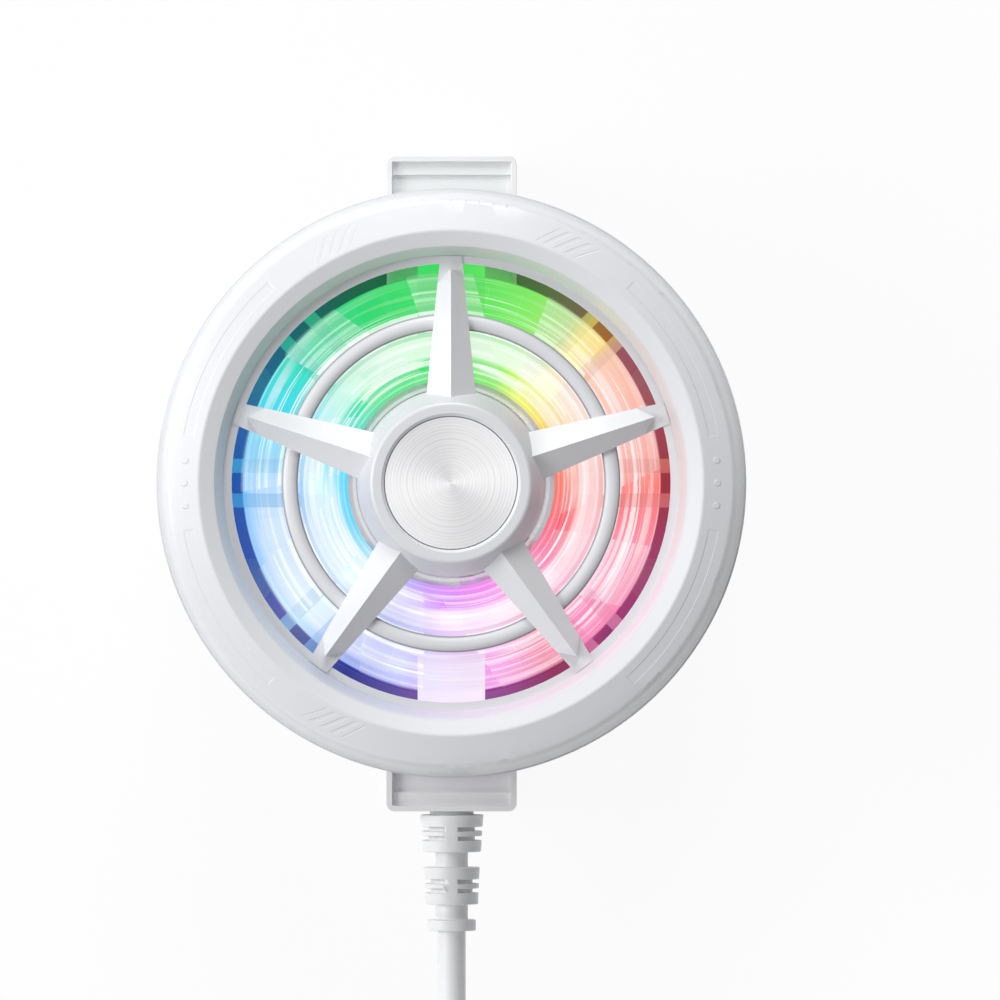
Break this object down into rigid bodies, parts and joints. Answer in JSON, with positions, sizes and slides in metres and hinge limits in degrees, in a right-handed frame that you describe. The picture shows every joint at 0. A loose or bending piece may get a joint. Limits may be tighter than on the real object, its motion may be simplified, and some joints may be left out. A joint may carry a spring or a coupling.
{
  "type": "phone cooling fan",
  "caption": "Clip-on cooling fan for a phone: round body with a star-shaped guard over a lit fan, a cold plate, a sprung sliding jaw and a plug-in cable.",
  "frame": {"origin": "on the body's axis, at the level of the jaw lips' undersides", "axes": "+Z out through the guard, +Y towards the sliding jaw, -Y towards the cable"},
  "size_m": [0.063, 0.1966, 0.0364],
  "materials": {
    "case_plastic": "satin",
    "jaw_plastic": "satin",
    "jaw_lining": "matt",
    "thermal_pad": "matt",
    "hub_metal": "turned",
    "wheel_plastic": "clear",
    "frame_plastic": "satin",
    "motor_steel": "plain",
    "magnet": "matt",
    "windings": "enamelled",
    "bearing": "plain",
    "washer": "matt",
    "lamp_board": "matt",
    "lamps": "lit",
    "control_board": "satin",
    "board_parts": "matt",
    "sink_aluminium": "plain",
    "module_plates": "matt",
    "spring_steel": "plain",
    "screw_steel": "plain",
    "wires": "satin",
    "cord_jacket": "satin",
    "tie": "matt",
    "plug_grip": "satin",
    "plug_metal": "plated",
    "plug_tongue": "matt",
    "plug_contacts": "plated"
  },
  "bodies": {
    "case": {"back_shell": "case_plastic", "bearing_sleeve": "bearing", "board_parts": "board_parts", "case_screws": "screw_steel", "coil_tie": "tie", "cold_pad": "thermal_pad", "cold_plate": "sink_aluminium", "control_board": "control_board", "cooling_module": "module_plates", "cord_coil": "cord_jacket", "cord_lead": "cord_jacket", "cord_tail": "cord_jacket", "fan_frame": "frame_plastic", "fan_leads": "wires", "fixed_jaw": "jaw_plastic", "fixed_jaw_pad": "jaw_lining", "frame_screws": "screw_steel", "front_cover": "case_plastic", "heat_sink": "sink_aluminium", "hub_disc": "hub_metal", "jaw_screws": "screw_steel", "jaw_springs": "spring_steel", "lamp_board": "lamp_board", "lamps": "lamps", "module_leads": "wires", "plug_contacts": "plug_contacts", "plug_grip": "plug_grip", "plug_shell": "plug_metal", "plug_tongue": "plug_tongue", "sink_screws": "screw_steel", "star_grille": "case_plastic", "stator_coils": "windings", "stator_core": "motor_steel", "strain_relief": "cord_jacket", "supply_leads": "wires", "thrust_washer": "washer"},
    "fan_wheel": {"impeller": "wheel_plastic", "rotor_yoke": "motor_steel", "rotor_magnet": "magnet", "rotor_shaft": "motor_steel"},
    "jaw": {"sliding_jaw": "jaw_plastic", "sliding_jaw_pad": "jaw_lining"}
  },
  "joints": [
    {"name": "fan_spin", "type": "hinge", "parent": "case", "child": "fan_wheel", "pos_m": [0, 0, 0.03], "axis": [0, 0, 1], "continuous": true},
    {"name": "jaw_slide", "type": "slide", "parent": "case", "child": "jaw", "axis": [0, 1, 0], "range_m": [0, 0.014], "stiffness_N_per_m": 300, "springref_m": -0.01, "deforming": ["jaw_springs"]}
  ]
}
